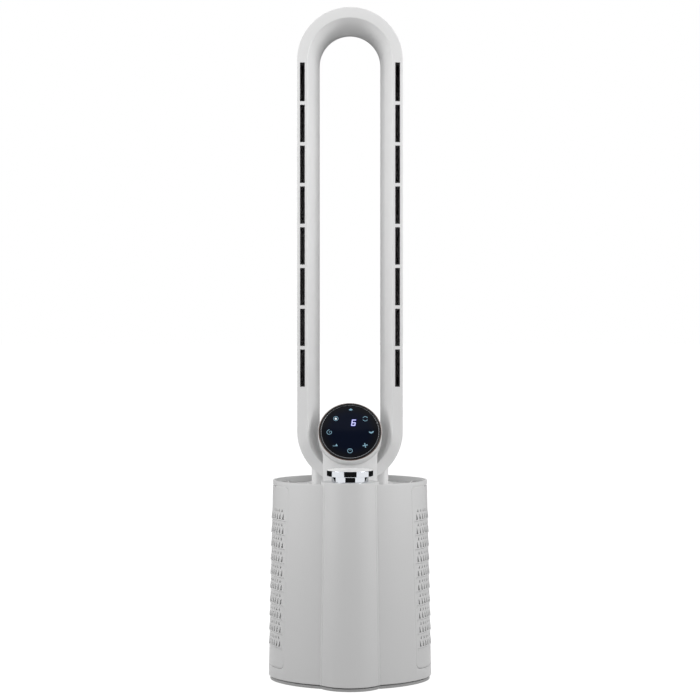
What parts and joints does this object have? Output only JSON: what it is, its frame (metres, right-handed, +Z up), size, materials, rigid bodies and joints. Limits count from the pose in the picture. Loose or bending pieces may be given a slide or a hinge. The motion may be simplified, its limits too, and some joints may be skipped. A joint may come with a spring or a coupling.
{
  "type": "bladeless fan",
  "caption": "Tall bladeless fan: slotted oval air loop on a swivelling stem with a round touch display, over an oval base with side filter grilles and a lift-out front canister.",
  "frame": {"origin": "on the floor, under the middle of the fan's footprint", "axes": "+Z up, front (display, chrome cap) towards -Y, +X to the viewer's right when facing the front"},
  "size_m": [0.2626, 0.25, 1.0799],
  "materials": {
    "shell_white": "satin white moulding",
    "shell_grey": "matte light grey",
    "inner_grey": "matte grey inner moulding",
    "rubber": "matte black rubber",
    "steel": "plain steel",
    "motor_metal": "painted steel case",
    "copper": "copper coloured metal",
    "chrome": "polished chrome",
    "silver_trim": "satin silver line",
    "clear_plastic": "clear blue-tinted",
    "filter_frame": "matte",
    "filter_media": "pleated paper felt",
    "dark_plastic": "matte black",
    "slide_plastic": "natural low-friction plastic",
    "board": "green circuit board",
    "lead": "insulated lead",
    "slot_black": "matte black",
    "bezel_black": "piano black",
    "face_glass": "black glass with a navy glow"
  },
  "bodies": {
    "base": {"foot_plate": "shell_grey", "rubber_feet": "rubber", "front_housing": "shell_white", "rear_housing": "shell_white", "deck_plate": "shell_white", "base_screws": "steel", "left_cradle": "inner_grey", "right_cradle": "inner_grey", "tank_well": "inner_grey", "mist_disc": "steel", "fan_housing": "inner_grey", "inlet_bellmouth": "inner_grey", "motor_case": "motor_metal", "motor_bearings": "steel", "motor_stator": "copper", "motor_mounts": "rubber", "diffuser": "inner_grey", "riser_duct": "inner_grey", "duct_seal": "rubber", "slide_ring": "slide_plastic", "stepper_motor": "steel", "main_board": "board", "power_inlet": "dark_plastic", "mains_leads": "lead"},
    "rotor": {"impeller": "dark_plastic", "impeller_nut": "steel", "motor_shaft": "steel", "motor_magnet": "motor_metal"},
    "pinion": {"swivel_pinion": "slide_plastic"},
    "left_cover": {"left_filter_cover": "shell_white", "left_filter_frame": "filter_frame", "left_filter_media": "filter_media"},
    "right_cover": {"right_filter_cover": "shell_white", "right_filter_frame": "filter_frame", "right_filter_media": "filter_media"},
    "canister": {"tank_body": "clear_plastic", "tank_valve": "rubber", "tank_seal": "rubber", "tank_lid": "shell_white", "chrome_neck": "chrome", "chrome_cap": "chrome"},
    "head": {"turntable": "shell_white", "ring_gear": "slide_plastic", "keeper_ring": "steel", "stem_front": "shell_white", "stem_rear": "shell_white", "stem_screws": "steel", "loop_front": "shell_white", "loop_rear": "shell_white", "left_outlet_strip": "slot_black", "right_outlet_strip": "slot_black", "pedestal": "shell_white", "pod_housing": "shell_white", "pod_back_cover": "shell_white", "hairline_ring": "copper", "bezel_ring": "bezel_black", "trim_ring": "silver_trim", "touch_glass": "face_glass", "display_board": "board", "display_ribbon": "lead"}
  },
  "joints": [
    {"name": "swivel", "type": "hinge", "parent": "base", "child": "head", "pos_m": [0, 0.04, 0.311], "axis": [0, 0, 1], "range_deg": [-40, 40]},
    {"name": "pinion_spin", "type": "hinge", "parent": "base", "child": "pinion", "pos_m": [-0.05091, -0.01091, 0.298], "axis": [0, 0, 1], "range_deg": [-201, 201]},
    {"name": "impeller_spin", "type": "hinge", "parent": "base", "child": "rotor", "pos_m": [0, 0.04, 0.1], "axis": [0, 0, 1], "continuous": true},
    {"name": "left_cover_pull", "type": "slide", "parent": "base", "child": "left_cover", "axis": [-1, 0, 0], "range_m": [0, 0.12]},
    {"name": "right_cover_pull", "type": "slide", "parent": "base", "child": "right_cover", "axis": [1, 0, 0], "range_m": [0, 0.12]},
    {"name": "canister_lift", "type": "slide", "parent": "base", "child": "canister", "axis": [0, 0, 1], "range_m": [0, 0.33]}
  ],
  "couplings": [
    {"joint": "pinion_spin", "follows": "swivel", "ratio": -5}
  ]
}
